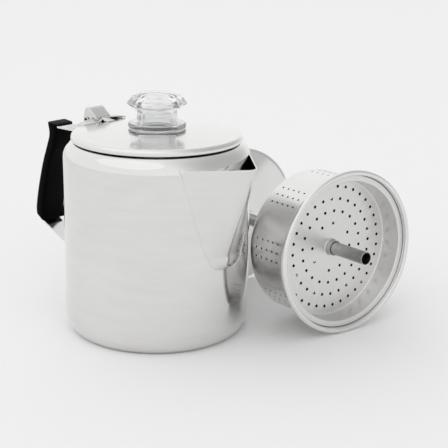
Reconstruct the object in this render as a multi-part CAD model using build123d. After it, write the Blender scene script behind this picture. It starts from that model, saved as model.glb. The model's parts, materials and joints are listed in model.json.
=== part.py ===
from build123d import *
import os
from math import acos, atan2, cos, degrees, hypot, radians, sin, sqrt

# Stove-top coffee percolator: pot with welded spout and strap handle, hinged lid with a clear
# bayonet knob, and the pump (tube, foot, basket, spreader) lying on its side next to the pot.
# Millimetres. Origin: centre of the pot's underside. +Z up, +X through the spout, handle at -X.

# ---- pot shell ----
POT_R = 68.0
SHEET = 0.8
BASE_CORNER_R = 8.5
BASE_CORNER_H = 15.5
SHOULDER_R = 14.0
SHOULDER_Z = 129.0
NECK_OUT_R = 58.5
NECK_TOP_Z = 142.8
SHOULDER_MID_R = POT_R - SHOULDER_R
POUR_HOLE_R = 3.0
POUR_ROWS = 3
POUR_ROW_PITCH = 10.0
POUR_FIRST_Z = 96.0
POUR_STEP_DEG = 9.0

# ---- spout: half-width on the wall, nose reach and nose radius at the lip and at the bend ----
SPOUT_TOP_Z = 133.5
SPOUT_BEND_Z = 65.5
SPOUT_DROP = 7.0
SPOUT_TOP_HALF = 37.0
SPOUT_BEND_HALF = 17.8
SPOUT_TOP_REACH = 90.0
SPOUT_BEND_REACH = 70.2
SPOUT_LOW_REACH = 67.5
SPOUT_TOP_NOSE = 4.0
SPOUT_BEND_NOSE = 24.0
SPOUT_STEPS = 7
SPOUT_RUN_IN = 0.6
SPOUT_BACK_R = 58.0

# ---- handle strap and sleeve (u runs outward from the pot axis, along -X) ----
STRAP_W = 16.0
STRAP_T = 1.5
STRAP_BEND_R = 5.0
STRAP_TOP_Z = 138.2
TAB_TOP_Z = 112.0
TAB_LOW_Z = 17.0
SLEEVE_CLEAR = 0.05
SLEEVE_TOP_W = 18.5
SLEEVE_LOW_W = 25.5
SLEEVE_EDGE_R = 2.4
SLEEVE_MOUTH_U = 98.0

# ---- lid hinge ----
PIN_U = 65.0
PIN_Z = 147.6
PIN_R = 1.25
PIN_HALF = 8.6
PIN_HEAD_R = 2.1
PIN_HEAD_T = 0.9
RUN_FIT = 0.05
EAR_R = 2.9
EAR_T = 1.2
EAR_OUT_Y = 5.9
BRACKET_T = 1.2
HOOD_OUT_Y = 7.2
HOOD_T = 0.8
LEAF_HALF = 23.0
LEAF_T = 0.8
LEAF_Z = 149.4
LEAF_DROP = 2.4
LEAF_IN_U = 52.8
LEAF_OUT_U = 59.6
LEAF_CORNER_R = 2.5
TONGUE_W = 7.0
HOOD_FRONT_U = 55.0
HOOD_GAP = 0.02

# ---- lid ----
LID_R = 62.1
LID_T = 0.7
LID_LOW_Z = 142.2
LID_CORNER_R = 3.0
LID_CENTRE_Z = 149.9
LID_DOME_R = 540.0
LID_HOLE_R = 14.7

# ---- knob ----
KNOB_GAP = 0.3
KNOB_FLANGE_R = 21.0
KNOB_FLANGE_T = 3.6
KNOB_NECK_R = 14.3
KNOB_NECK_TOP_Z = 162.0
KNOB_GIRDLE_R = 21.2
KNOB_GIRDLE_Z = 167.6
KNOB_CROWN_R = 17.0
KNOB_CROWN_Z = 173.2
KNOB_TABLE_R = 13.2
KNOB_TOP_Z = 174.9
KNOB_SIDES = 8
KNOB_BORE_R = 10.6
KNOB_BORE_TOP_Z = 166.0
LUG_R = 17.2
LUG_T = 1.6
LUG_HALF_DEG = 22.0
LUG_NOTCH_DEG = 27.0

# ---- pump: local axis along the tube, zero at the basket's rim, positive out of its top ----
BASKET_AZIMUTH = -15.0
BASKET_X = 117.0
BASKET_Y = 80.3
BEAD_R = 61.1
BEAD_IN_R = 57.3
BEAD_H = 4.4
BASKET_R = 54.3
BASKET_DEPTH = 50.7
BASKET_CORNER_R = 3.5
BASKET_T = 0.8
LEDGE_T = 0.7
DISH_OUT_R = 53.2
DISH_T = 0.7
DISH_GAP = 0.3
DISH_FLANGE_R = 57.0
PLATE_DEPTH = 20.4
COLLAR_OUT_R = 5.85
COLLAR_IN_R = 5.15
COLLAR_H = 5.0
TUBE_R = 4.8
TUBE_BORE_R = 4.35
TUBE_TIP = 18.1
FOOT_DEPTH = 138.4
FOOT_R = 56.3
FOOT_T = 0.8
FOOT_RISE = 5.0
FOOT_LIP = 2.4
FOOT_FLAT_R = 13.0
FERRULE_R = 7.2
FERRULE_H = 7.0
STOP_R = 6.8
STOP_H = 2.4
BORE_CLEAR = 0.03

# ---- hole patterns ----
SPREAD_HOLE_R = 1.05
RING_R = (45.9, 36.7, 27.5)
RING_COUNT = (36, 28, 20)
RING_PHASE = (3.3, 0.4, -4.8)
PAIR_R = 18.2
PAIR_CENTRE = 12.0
PAIR_HALF = 17.2
WALL_HOLE_R = 0.65
WALL_GROUPS = 8
WALL_PHASE = -5.0
WALL_ROWS = 3
WALL_ROW_STEP = 7.2
WALL_COLS = 5
WALL_FIRST = 17.0
WALL_PITCH = 6.0
BOTTOM_RING_R = (14.0, 22.0, 30.0, 38.0, 46.0)
BOTTOM_RING_COUNT = (8, 14, 20, 26, 32)

# The pump rests on the basket's bead and the foot's edge, which sets how far its axis tilts.
PUMP_TILT = degrees(atan2(BEAD_R - FOOT_R, FOOT_DEPTH - FOOT_LIP / 2 - BEAD_H / 2))
AXIS_Z = BEAD_R / cos(radians(PUMP_TILT)) + BEAD_H / 2 * sin(radians(PUMP_TILT))

os.makedirs("parts", exist_ok=True)


def revolved(points):
    """Full revolution of a closed (radius, height) outline about +Z."""
    return revolve(make_face(Polyline(*[(r, 0, z) for r, z in points], close=True)), Axis.Z)


def arc_points(centre_r, centre_z, radius_r, radius_z, start, end, count=13):
    """Points of an ellipse arc, angles in degrees from the outward direction."""
    steps = [radians(start + (end - start) * i / (count - 1)) for i in range(count)]
    return [(centre_r + radius_r * cos(a), centre_z + radius_z * sin(a)) for a in steps]


def side_profile(points, width):
    """Prism from an outline in the handle plane, given as (u outward along -X, z)."""
    face = make_face(Polyline(*[(-u, 0, z) for u, z in points], close=True))
    return extrude(face, width / 2, dir=(0, 1, 0), both=True)


def pot_solid(inset, top_z):
    """Solid of the pot's outside, built from true lines and arcs."""
    top_r = NECK_OUT_R - inset
    arc_r = SHOULDER_R - inset
    rise = sqrt(arc_r ** 2 - (top_r - SHOULDER_MID_R) ** 2)
    flat_r = POT_R - BASE_CORNER_R
    wall_r = POT_R - inset
    mid = radians(degrees(acos((top_r - SHOULDER_MID_R) / arc_r)) / 2)
    corner = arc_points(flat_r, BASE_CORNER_H, BASE_CORNER_R - inset, BASE_CORNER_H - inset, -90, 0, 7)
    edges = [
        Line((0, 0, inset), (flat_r, 0, inset)),
        Spline(*[(r, 0, z) for r, z in corner], tangents=[(1, 0, 0), (0, 0, 1)]),
        Line((wall_r, 0, BASE_CORNER_H), (wall_r, 0, SHOULDER_Z)),
        ThreePointArc((wall_r, 0, SHOULDER_Z),
                      (SHOULDER_MID_R + arc_r * cos(mid), 0, SHOULDER_Z + arc_r * sin(mid)),
                      (top_r, 0, SHOULDER_Z + rise)),
        Line((top_r, 0, SHOULDER_Z + rise), (top_r, 0, top_z)),
        Line((top_r, 0, top_z), (0, 0, top_z)),
        Line((0, 0, top_z), (0, 0, inset)),
    ]
    return revolve(make_face(edges), Axis.Z)


def pot_body():
    """Drawn pot: flat base, soft base corner, straight wall, rounded shoulder and a short neck."""
    shell = pot_solid(0, NECK_TOP_Z) - pot_solid(SHEET, NECK_TOP_Z + 1)
    drills = []
    for row in range(POUR_ROWS):
        offset = POUR_STEP_DEG / 2 if row % 2 else 0
        count = 2 if row % 2 else 1
        for step in range(-count, count + (0 if row % 2 else 1)):
            drill = Cylinder(POUR_HOLE_R, POT_R / 2, rotation=(0, 90, 0))
            drill = Pos(POT_R, 0, POUR_FIRST_Z + row * POUR_ROW_PITCH) * drill
            drills.append(Rot(0, 0, step * POUR_STEP_DEG + offset) * drill)
    return shell - drills


def spout_section(z, thickness):
    """One plan section of the spout: rounded nose, two straight sides, closed inside the pot."""
    rise = max(0.0, (z - SPOUT_BEND_Z) / (SPOUT_TOP_Z - SPOUT_BEND_Z))
    fall = sqrt(1 - (max(0.0, SPOUT_BEND_Z - z) / SPOUT_DROP) ** 2)
    v = SPOUT_BEND_HALF + rise * (SPOUT_TOP_HALF - SPOUT_BEND_HALF)
    u = sqrt((POT_R - SPOUT_RUN_IN) ** 2 - v ** 2)
    reach_high = SPOUT_BEND_REACH + rise * (SPOUT_TOP_REACH - SPOUT_BEND_REACH)
    nose = SPOUT_LOW_REACH + fall * (reach_high - SPOUT_LOW_REACH)
    nose_r = SPOUT_TOP_NOSE + (SPOUT_BEND_NOSE - SPOUT_TOP_NOSE) * (1 - rise) ** 2
    nose_r = min(nose_r, 0.9 * ((nose - u) ** 2 + v ** 2) / (2 * (nose - u)))
    centre = nose - nose_r
    reach = hypot(u - centre, v)
    gamma = atan2(v, u - centre) - acos(nose_r / reach)
    run = sqrt(reach ** 2 - nose_r ** 2)
    r = nose_r - thickness
    touch = (centre + r * cos(gamma), r * sin(gamma))
    seam = (touch[0] - sin(gamma) * run, touch[1] + cos(gamma) * run)
    scale = SPOUT_BACK_R / hypot(*seam)
    back = (seam[0] * scale, seam[1] * scale)
    return make_face([
        Line((back[0], -back[1], z), (seam[0], -seam[1], z)),
        Line((seam[0], -seam[1], z), (touch[0], -touch[1], z)),
        ThreePointArc((touch[0], -touch[1], z), (centre + r, 0, z), (touch[0], touch[1], z)),
        Line((touch[0], touch[1], z), (seam[0], seam[1], z)),
        Line((seam[0], seam[1], z), (back[0], back[1], z)),
        Line((back[0], back[1], z), (back[0], -back[1], z)),
    ])


def spout():
    """Folded sheet spout: a narrow V at the lip that blends into a U where it meets the wall."""
    span = SPOUT_TOP_Z - SPOUT_BEND_Z
    heights = [SPOUT_BEND_Z + span * (1 - i / SPOUT_STEPS) for i in range(SPOUT_STEPS + 1)]
    heights += [SPOUT_BEND_Z - SPOUT_DROP * sin(radians(18 * i)) for i in range(1, 6)]
    outside = loft([spout_section(z, 0) for z in heights], ruled=True)
    inside = loft([spout_section(z, SHEET) for z in heights], ruled=True)
    return outside - pot_solid(0, NECK_TOP_Z) - inside


def strap_path():
    """Centreline of the strap in the handle plane, from the shoulder tab to the lower tab."""
    wall_u = POT_R + STRAP_T / 2
    top_z = STRAP_TOP_Z - STRAP_T / 2
    points = [(wall_u, TAB_TOP_Z), (wall_u, top_z), (103.8, top_z), (102.6, 128.5), (109.6, 110.0),
              (118.4, 66.0), (117.0, 58.0), (96.0, 48.0), (wall_u, 36.5), (wall_u, TAB_LOW_Z)]
    radii = [3.0, STRAP_BEND_R, 12.0, 30.0, 5.0, 4.0, 40.0, 6.0]
    return points, radii


def rounded_path(points, radii):
    """Line and arc wire through the points with one bend radius per inner corner."""
    edges = []
    start = Vector(-points[0][0], 0, points[0][1])
    for i, radius in enumerate(radii):
        a, b, c = [Vector(-u, 0, z) for u, z in points[i:i + 3]]
        d1, d2 = (a - b).normalized(), (c - b).normalized()
        half = acos(max(-1.0, min(1.0, d1.dot(d2)))) / 2
        back = radius / (sin(half) / cos(half))
        p1, p2 = b + d1 * back, b + d2 * back
        bis = (d1 + d2).normalized()
        mid = b + bis * (radius / sin(half) - radius)
        edges.append(Line(start, p1))
        edges.append(ThreePointArc(p1, mid, p2))
        start = p2
    edges.append(Line(start, Vector(-points[-1][0], 0, points[-1][1])))
    return Wire(edges)


def strap_solid(width, thickness):
    """Flat strip swept along the strap's centreline."""
    path = rounded_path(*strap_path())
    plane = Plane(origin=path @ 0, x_dir=(0, 1, 0), z_dir=path % 0)
    return sweep(plane * Rectangle(width, thickness), path=path)


def handle_strap():
    """Steel strap handle, welded to the wall by its two end tabs."""
    return strap_solid(STRAP_W, STRAP_T)


def handle_sleeve():
    """Moulded sleeve over the outer leg of the strap, wider towards the bottom."""
    outer = [(108.2, 139.6), (106.6, 131.0), (109.4, 121.5), (114.2, 107.5), (121.7, 70.0),
             (120.8, 65.2)]
    inner = [(112.3, 59.0), (113.6, 67.0), (106.4, 107.0), (100.8, 121.0), (98.2, 131.8)]
    mouth = (SLEEVE_MOUTH_U, 138.9)
    heel = (113.9, 58.4)
    brow = (105.6, 140.3)

    def at(point):
        return (-point[0], 0, point[1])

    face = make_face([
        Spline(*[at(p) for p in outer]),
        Line(at(outer[-1]), at(heel)),
        Line(at(heel), at(inner[0])),
        Spline(*[at(p) for p in inner]),
        Line(at(inner[-1]), at(mouth)),
        Line(at(mouth), at(brow)),
        Line(at(brow), at(outer[0])),
    ])
    side = extrude(face, SLEEVE_LOW_W, dir=(0, 1, 0), both=True)
    top_half, low_half = SLEEVE_TOP_W / 2, SLEEVE_LOW_W / 2
    front = Polyline((-130, -top_half, 145), (-130, top_half, 145), (-130, low_half, 48),
                     (-130, -low_half, 48), close=True)
    block = side & extrude(make_face(front), 60, dir=(1, 0, 0))
    long_edges = [e for e in block.edges() if e.length > 50]
    block = fillet(long_edges, SLEEVE_EDGE_R)
    return block - strap_solid(STRAP_W + 2 * SLEEVE_CLEAR, STRAP_T + 2 * SLEEVE_CLEAR)


def hinge_bracket():
    """Fixed half of the hinge: a small channel on the strap with two ears for the pin."""
    top = STRAP_TOP_Z + BRACKET_T
    foot = side_profile([(66.0, STRAP_TOP_Z), (90.0, STRAP_TOP_Z), (90.0, top), (66.0, top)],
                        2 * EAR_OUT_Y)
    ear = side_profile([(66.0, top), (89.0, top), (82.0, top + 2.4), (74.0, top + 2.8),
                        (71.5, top + 3.0), (PIN_U + EAR_R, PIN_Z - 0.7), (PIN_U - EAR_R, PIN_Z - 0.7)],
                       EAR_T)
    ear += Pos(-PIN_U, 0, PIN_Z) * Cylinder(EAR_R, EAR_T, rotation=(90, 0, 0))
    shift = EAR_OUT_Y - EAR_T / 2
    bracket = foot + Pos(0, shift, 0) * ear + Pos(0, -shift, 0) * ear
    return bracket - Pos(-PIN_U, 0, PIN_Z) * Cylinder(PIN_R + 0.02, 40, rotation=(90, 0, 0))


def hinge_pin():
    """Headed pin through both ears and both cheeks of the hood."""
    pin = Cylinder(PIN_R, 2 * PIN_HALF, rotation=(90, 0, 0))
    for side in (-1, 1):
        pin += Pos(0, side * (PIN_HALF - PIN_HEAD_T / 2), 0) * Cylinder(
            PIN_HEAD_R, PIN_HEAD_T, rotation=(90, 0, 0))
    return Pos(-PIN_U, 0, PIN_Z) * pin


def dome_z(r, drop=0.0):
    """Height of the lid's dome at a radius."""
    return LID_CENTRE_Z - drop - r * r / (2 * LID_DOME_R)


def lid_solid(inset, low_z):
    """Solid below the lid's surface, moved inward by the inset."""
    r = LID_R - inset
    top = dome_z(r, inset)
    face = make_face([
        Line((0, 0, low_z), (r, 0, low_z)),
        Line((r, 0, low_z), (r, 0, top)),
        ThreePointArc((r, 0, top), (r / 2, 0, dome_z(r / 2, inset)), (0, 0, dome_z(0, inset))),
        Line((0, 0, dome_z(0, inset)), (0, 0, low_z)),
    ])
    corner = [v for v in face.vertices() if abs(v.X - r) < 1e-6 and v.Z > low_z + 1]
    return revolve(fillet(corner, LID_CORNER_R - inset), Axis.Z)


def sector(radius, half_deg, height):
    """Two opposite pie wedges along X, standing on z = 0."""
    reach = radius * 1.2
    a = radians(half_deg)
    wedge = make_face(Polyline((0, 0), (reach * cos(a), -reach * sin(a)),
                               (reach * cos(a), reach * sin(a)), close=True))
    wedges = extrude(wedge, height) + extrude(Rot(0, 0, 180) * wedge, height)
    return wedges & (Pos(0, 0, height / 2) * Cylinder(radius, height))


def lid_shell():
    """Shallow domed lid with a turned-down edge and a keyed hole for the knob."""
    shell = lid_solid(0, LID_LOW_Z) - lid_solid(LID_T, LID_LOW_Z - 1)
    shell -= Pos(0, 0, LID_CENTRE_Z) * Cylinder(LID_HOLE_R, 20)
    notch = sector(LUG_R + 0.4, LUG_NOTCH_DEG, 20)
    return shell - Pos(0, 0, LID_CENTRE_Z - 10) * (Rot(0, 0, 90) * notch)


def hood_side():
    """Outline of the hood's cheek in the handle plane."""
    return [(HOOD_FRONT_U, LEAF_Z + 1.2), (61.8, 156.1), (63.4, 157.0), (65.6, 157.0), (67.2, 155.6),
            (68.9, 150.0), (68.5, 146.2), (66.8, 144.4), (63.6, 144.4), (62.0, 145.6),
            (LEAF_OUT_U, LEAF_Z + LEAF_T / 4), (HOOD_FRONT_U, LEAF_Z + LEAF_T / 4)]


def leaf_strip(grow):
    """Arched cross strip of the leaf, thicker by the growth on both faces."""
    z_top, z_low = LEAF_Z + LEAF_T + grow, LEAF_Z - grow
    x = -LEAF_IN_U
    face = make_face([
        ThreePointArc((x, -LEAF_HALF, z_top - LEAF_DROP), (x, 0, z_top), (x, LEAF_HALF, z_top - LEAF_DROP)),
        Line((x, LEAF_HALF, z_top - LEAF_DROP), (x, LEAF_HALF, z_low - LEAF_DROP)),
        ThreePointArc((x, LEAF_HALF, z_low - LEAF_DROP), (x, 0, z_low), (x, -LEAF_HALF, z_low - LEAF_DROP)),
        Line((x, -LEAF_HALF, z_low - LEAF_DROP), (x, -LEAF_HALF, z_top - LEAF_DROP)),
    ])
    return extrude(face, LEAF_OUT_U - LEAF_IN_U, dir=(-1, 0, 0))


def hinge_hood():
    """Folded hood over the hinge: two cheeks that turn on the pin and a sloping roof."""
    outline = hood_side()
    roof = [(HOOD_FRONT_U, LEAF_Z + LEAF_T / 4), (HOOD_FRONT_U, LEAF_Z + 1.2), (61.8, 156.1),
            (63.4, 157.0), (65.0, 157.0), (65.0, 156.2), (63.7, 156.2), (62.4, 155.4),
            (HOOD_FRONT_U + HOOD_T, LEAF_Z + 0.9), (HOOD_FRONT_U + HOOD_T, LEAF_Z + LEAF_T / 4)]
    body = side_profile(outline, 2 * HOOD_OUT_Y)
    body -= side_profile(outline, 2 * (HOOD_OUT_Y - HOOD_T)) - side_profile(roof, 2 * HOOD_OUT_Y)
    bore = Pos(-PIN_U, 0, PIN_Z) * Cylinder(PIN_R + RUN_FIT, 4 * HOOD_OUT_Y, rotation=(90, 0, 0))
    return body - leaf_strip(HOOD_GAP) - bore


def hinge_leaf():
    """Leaf that joins the hood to the lid: a raised arched strip with a tongue down to the dome."""
    low = dome_z(47.0)
    strip = leaf_strip(0)
    strip = fillet(strip.edges().filter_by(Axis.Z), LEAF_CORNER_R)
    tongue = side_profile([(46.0, low), (50.0, low - 0.05), (53.2, LEAF_Z), (54.4, LEAF_Z + LEAF_T / 2),
                           (52.6, LEAF_Z + LEAF_T / 2), (49.8, low + LEAF_T), (46.0, low + LEAF_T)],
                          TONGUE_W)
    return strip + tongue - lid_solid(0, LID_LOW_Z)


def ngon(radius, z):
    """Regular polygon with the knob's number of sides."""
    return Pos(0, 0, z) * RegularPolygon(radius, KNOB_SIDES)


def knob():
    """Clear knob: round flange and neck, faceted head, hollow from below, two bayonet lugs."""
    seat = dome_z(0) + KNOB_GAP
    flange = Pos(0, 0, seat + KNOB_FLANGE_T / 2) * Cylinder(KNOB_FLANGE_R, KNOB_FLANGE_T)
    flange = fillet(flange.edges(), 1.4)
    lug_low = dome_z(0, LID_T) - KNOB_GAP - LUG_T
    neck_h = KNOB_NECK_TOP_Z - lug_low
    neck = Pos(0, 0, lug_low + neck_h / 2) * Cylinder(KNOB_NECK_R, neck_h)
    flare = loft([ngon(KNOB_NECK_R, KNOB_NECK_TOP_Z), ngon(KNOB_GIRDLE_R, KNOB_GIRDLE_Z - 0.6)], ruled=True)
    girdle = extrude(ngon(KNOB_GIRDLE_R, KNOB_GIRDLE_Z - 0.6), 1.2)
    crown = loft([ngon(KNOB_GIRDLE_R, KNOB_GIRDLE_Z + 0.6), ngon(KNOB_CROWN_R, KNOB_CROWN_Z)], ruled=True)
    table = loft([ngon(KNOB_CROWN_R, KNOB_CROWN_Z), ngon(KNOB_TABLE_R, KNOB_TOP_Z)], ruled=True)
    lugs = Pos(0, 0, lug_low) * sector(LUG_R, LUG_HALF_DEG, LUG_T)
    body = flange + neck + flare + girdle + crown + table + lugs
    depth = KNOB_BORE_TOP_Z - lug_low
    bore = Pos(0, 0, lug_low + depth / 2) * Cylinder(KNOB_BORE_R, depth)
    return body - fillet(bore.edges().group_by(Axis.Z)[-1], 4.0)


def place(shape):
    """From the pump's own axes to where it lies beside the pot."""
    tilt, turn = radians(PUMP_TILT), radians(BASKET_AZIMUTH)
    z_dir = Vector(cos(tilt) * cos(turn), cos(tilt) * sin(turn), sin(tilt))
    x_dir = Vector(-sin(tilt) * cos(turn), -sin(tilt) * sin(turn), cos(tilt))
    plane = Plane(origin=(BASKET_X, BASKET_Y, AXIS_Z), x_dir=x_dir, z_dir=z_dir)
    return plane.location * shape


def drill_ring(radius, count, phase, hole_r, z, length):
    """Evenly spaced drills along Z on one circle."""
    drill = Cylinder(hole_r, length)
    return [Rot(0, 0, phase + 360 * i / count) * Pos(radius, 0, z) * drill for i in range(count)]


def basket_can():
    """Coffee basket: perforated wall and bottom, stepped rim with a rolled bead."""
    wall_in = BASKET_R - BASKET_T
    ledge_r = BEAD_IN_R + LEDGE_T
    low_in = -BASKET_DEPTH + BASKET_T
    bead_mid = (BEAD_IN_R + BEAD_R) / 2
    face = make_face(Polyline(
        (COLLAR_IN_R, 0, -BASKET_DEPTH), (BASKET_R, 0, -BASKET_DEPTH),
        (BASKET_R, 0, -BEAD_H - LEDGE_T), (ledge_r, 0, -BEAD_H - LEDGE_T), (ledge_r, 0, -BEAD_H),
        (BEAD_R, 0, -BEAD_H), (BEAD_R, 0, 0), (BEAD_IN_R, 0, 0), (BEAD_IN_R, 0, -BEAD_H),
        (wall_in, 0, -BEAD_H), (wall_in, 0, low_in), (COLLAR_OUT_R, 0, low_in),
        (COLLAR_OUT_R, 0, low_in + COLLAR_H), (COLLAR_IN_R, 0, low_in + COLLAR_H), close=True))
    picks = ((BASKET_R, -BASKET_DEPTH, BASKET_CORNER_R), (wall_in, low_in, BASKET_CORNER_R - BASKET_T),
             (BEAD_R, -BEAD_H, 1.3), (BEAD_R, 0, 1.5), (BEAD_IN_R, 0, 1.2))
    for r, z, radius in picks:
        spot = [v for v in face.vertices() if abs(v.X - r) < 1e-4 and abs(v.Z - z) < 1e-4]
        face = fillet(spot, radius)
    can = revolve(face, Axis.Z)
    drills = []
    for group in range(WALL_GROUPS):
        for row in range(WALL_ROWS):
            angle = WALL_PHASE + 360 * group / WALL_GROUPS + (row - 1) * WALL_ROW_STEP
            for col in range(WALL_COLS):
                drill = Pos(BASKET_R, 0, -WALL_FIRST - col * WALL_PITCH) * Cylinder(
                    WALL_HOLE_R, 8, rotation=(0, 90, 0))
                drills.append(Rot(0, 0, angle) * drill)
    for radius, count in zip(BOTTOM_RING_R, BOTTOM_RING_COUNT):
        drills += drill_ring(radius, count, 0, SPREAD_HOLE_R, -BASKET_DEPTH, 6)
    return place(can - drills)


def spreader():
    """Dish that drops into the basket: flange on the rim's step, perforated plate, collar."""
    wall_in = DISH_OUT_R - DISH_T
    top = -BEAD_H + DISH_GAP
    low = -PLATE_DEPTH - DISH_T
    face = make_face(Polyline(
        (COLLAR_IN_R, 0, low), (DISH_OUT_R, 0, low), (DISH_OUT_R, 0, top), (DISH_FLANGE_R, 0, top),
        (DISH_FLANGE_R, 0, top + DISH_T), (wall_in, 0, top + DISH_T), (wall_in, 0, -PLATE_DEPTH),
        (COLLAR_OUT_R, 0, -PLATE_DEPTH), (COLLAR_OUT_R, 0, -PLATE_DEPTH + COLLAR_H),
        (COLLAR_IN_R, 0, -PLATE_DEPTH + COLLAR_H), close=True))
    picks = ((DISH_OUT_R, low, 1.9), (wall_in, -PLATE_DEPTH, 1.2), (wall_in, top + DISH_T, 0.9),
             (COLLAR_OUT_R, -PLATE_DEPTH, 1.0))
    for r, z, radius in picks:
        spot = [v for v in face.vertices() if abs(v.X - r) < 1e-4 and abs(v.Z - z) < 1e-4]
        face = fillet(spot, radius)
    dish = revolve(face, Axis.Z)
    drills = []
    for radius, count, phase in zip(RING_R, RING_COUNT, RING_PHASE):
        drills += drill_ring(radius, count, phase, SPREAD_HOLE_R, -PLATE_DEPTH, 6)
    for side in (-1, 1):
        drills += drill_ring(PAIR_R, 4, PAIR_CENTRE + side * PAIR_HALF, SPREAD_HOLE_R, -PLATE_DEPTH, 6)
    return place(dish - drills)


def pump_tube():
    """Plain tube from the foot up through the basket and spreader."""
    low = -FOOT_DEPTH + FOOT_LIP / 2
    length = TUBE_TIP - low
    tube = Pos(0, 0, low + length / 2) * (Cylinder(TUBE_R, length) - Cylinder(TUBE_BORE_R, length + 2))
    return place(tube)


def pump_foot():
    """Shallow dished foot with a turned-down lip, bored for the tube."""
    rim = -FOOT_DEPTH - FOOT_LIP / 2
    lift = FOOT_RISE
    bore = TUBE_R + BORE_CLEAR
    outer = [(bore, rim + lift + FOOT_LIP), (FOOT_FLAT_R, rim + lift + FOOT_LIP),
             (FOOT_R - 2.5, rim + FOOT_LIP), (FOOT_R, rim + FOOT_LIP - 1.0), (FOOT_R, rim),
             (FOOT_R - FOOT_T, rim), (FOOT_R - FOOT_T, rim + FOOT_LIP - 1.4),
             (FOOT_R - 2.9, rim + FOOT_LIP - FOOT_T), (FOOT_FLAT_R, rim + lift + FOOT_LIP - FOOT_T),
             (bore, rim + lift + FOOT_LIP - FOOT_T)]
    return place(revolved(outer))


def tube_ferrule():
    """Short ferrule that fixes the tube to the foot."""
    low = -FOOT_DEPTH + FOOT_LIP / 2 + FOOT_RISE
    ring = Pos(0, 0, low + FERRULE_H / 2) * Cylinder(FERRULE_R, FERRULE_H)
    ring = fillet(ring.edges().group_by(Axis.Z)[-1], 1.0)
    return place(ring - Cylinder(TUBE_R + BORE_CLEAR, 2 * FOOT_DEPTH + 2 * FERRULE_R))


def basket_stop():
    """Ring on the tube that carries the basket."""
    top = -BASKET_DEPTH - 0.3
    ring = Pos(0, 0, top - STOP_H / 2) * Cylinder(STOP_R, STOP_H)
    ring = fillet(ring.edges(), 0.8)
    return place(ring - Cylinder(TUBE_R + BORE_CLEAR, 2 * FOOT_DEPTH + 2 * FERRULE_R))


NODES = {
    "pot_body": pot_body,
    "spout": spout,
    "handle_strap": handle_strap,
    "handle_sleeve": handle_sleeve,
    "hinge_bracket": hinge_bracket,
    "hinge_pin": hinge_pin,
    "lid_shell": lid_shell,
    "hinge_hood": hinge_hood,
    "hinge_leaf": hinge_leaf,
    "knob": knob,
    "pump_tube": pump_tube,
    "pump_foot": pump_foot,
    "tube_ferrule": tube_ferrule,
    "basket_stop": basket_stop,
    "basket_can": basket_can,
    "spreader": spreader,
}

for name, build in NODES.items():
    export_step(build(), f"parts/{name}.step")
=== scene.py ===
import bpy, bmesh, json
from math import acos, atan2, cos, degrees, hypot, pi, radians, sin, sqrt
from mathutils import Matrix, Vector


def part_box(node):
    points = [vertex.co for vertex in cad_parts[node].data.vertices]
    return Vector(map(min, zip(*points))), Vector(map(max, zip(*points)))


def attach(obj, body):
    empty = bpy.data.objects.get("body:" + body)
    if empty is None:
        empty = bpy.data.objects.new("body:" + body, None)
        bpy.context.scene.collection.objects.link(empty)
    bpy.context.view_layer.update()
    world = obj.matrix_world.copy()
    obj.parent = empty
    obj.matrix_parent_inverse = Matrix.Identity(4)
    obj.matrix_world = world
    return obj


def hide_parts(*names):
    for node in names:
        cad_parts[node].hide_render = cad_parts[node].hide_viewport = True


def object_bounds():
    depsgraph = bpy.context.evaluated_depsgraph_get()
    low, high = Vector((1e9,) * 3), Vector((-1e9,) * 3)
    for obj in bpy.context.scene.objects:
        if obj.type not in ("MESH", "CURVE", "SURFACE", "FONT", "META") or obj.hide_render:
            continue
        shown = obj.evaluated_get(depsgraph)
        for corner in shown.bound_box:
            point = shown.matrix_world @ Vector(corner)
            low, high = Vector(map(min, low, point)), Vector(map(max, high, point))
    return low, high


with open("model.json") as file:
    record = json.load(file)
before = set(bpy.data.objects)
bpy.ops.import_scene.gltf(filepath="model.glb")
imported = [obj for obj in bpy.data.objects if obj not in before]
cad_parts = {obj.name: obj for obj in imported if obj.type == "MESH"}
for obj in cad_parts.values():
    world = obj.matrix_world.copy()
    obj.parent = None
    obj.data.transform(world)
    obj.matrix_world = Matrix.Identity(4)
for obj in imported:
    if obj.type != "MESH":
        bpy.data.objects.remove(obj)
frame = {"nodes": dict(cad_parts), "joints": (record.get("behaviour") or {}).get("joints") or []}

CAD_LOW, CAD_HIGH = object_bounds()
MM = 0.001
scene = bpy.context.scene


# ---------------------------------------------------------------- mesh helpers
def new_object(name, mesh, matrix=None):
    obj = bpy.data.objects.new(name, mesh)
    scene.collection.objects.link(obj)
    if matrix is not None:
        obj.matrix_world = matrix
    return obj


def shade(mesh, angle=32):
    mesh.shade_smooth()
    mesh.set_sharp_from_angle(angle=radians(angle))


def from_bmesh(name, bm, matrix=None, angle=32):
    bmesh.ops.recalc_face_normals(bm, faces=bm.faces)
    mesh = bpy.data.meshes.new(name)
    bm.to_mesh(mesh)
    bm.free()
    shade(mesh, angle)
    return new_object(name, mesh, matrix)


def arc(cx, cy, rx, ry, a0, a1, n=8):
    return [(cx + rx * cos(radians(a0 + (a1 - a0) * i / n)),
             cy + ry * sin(radians(a0 + (a1 - a0) * i / n))) for i in range(n + 1)]


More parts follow.
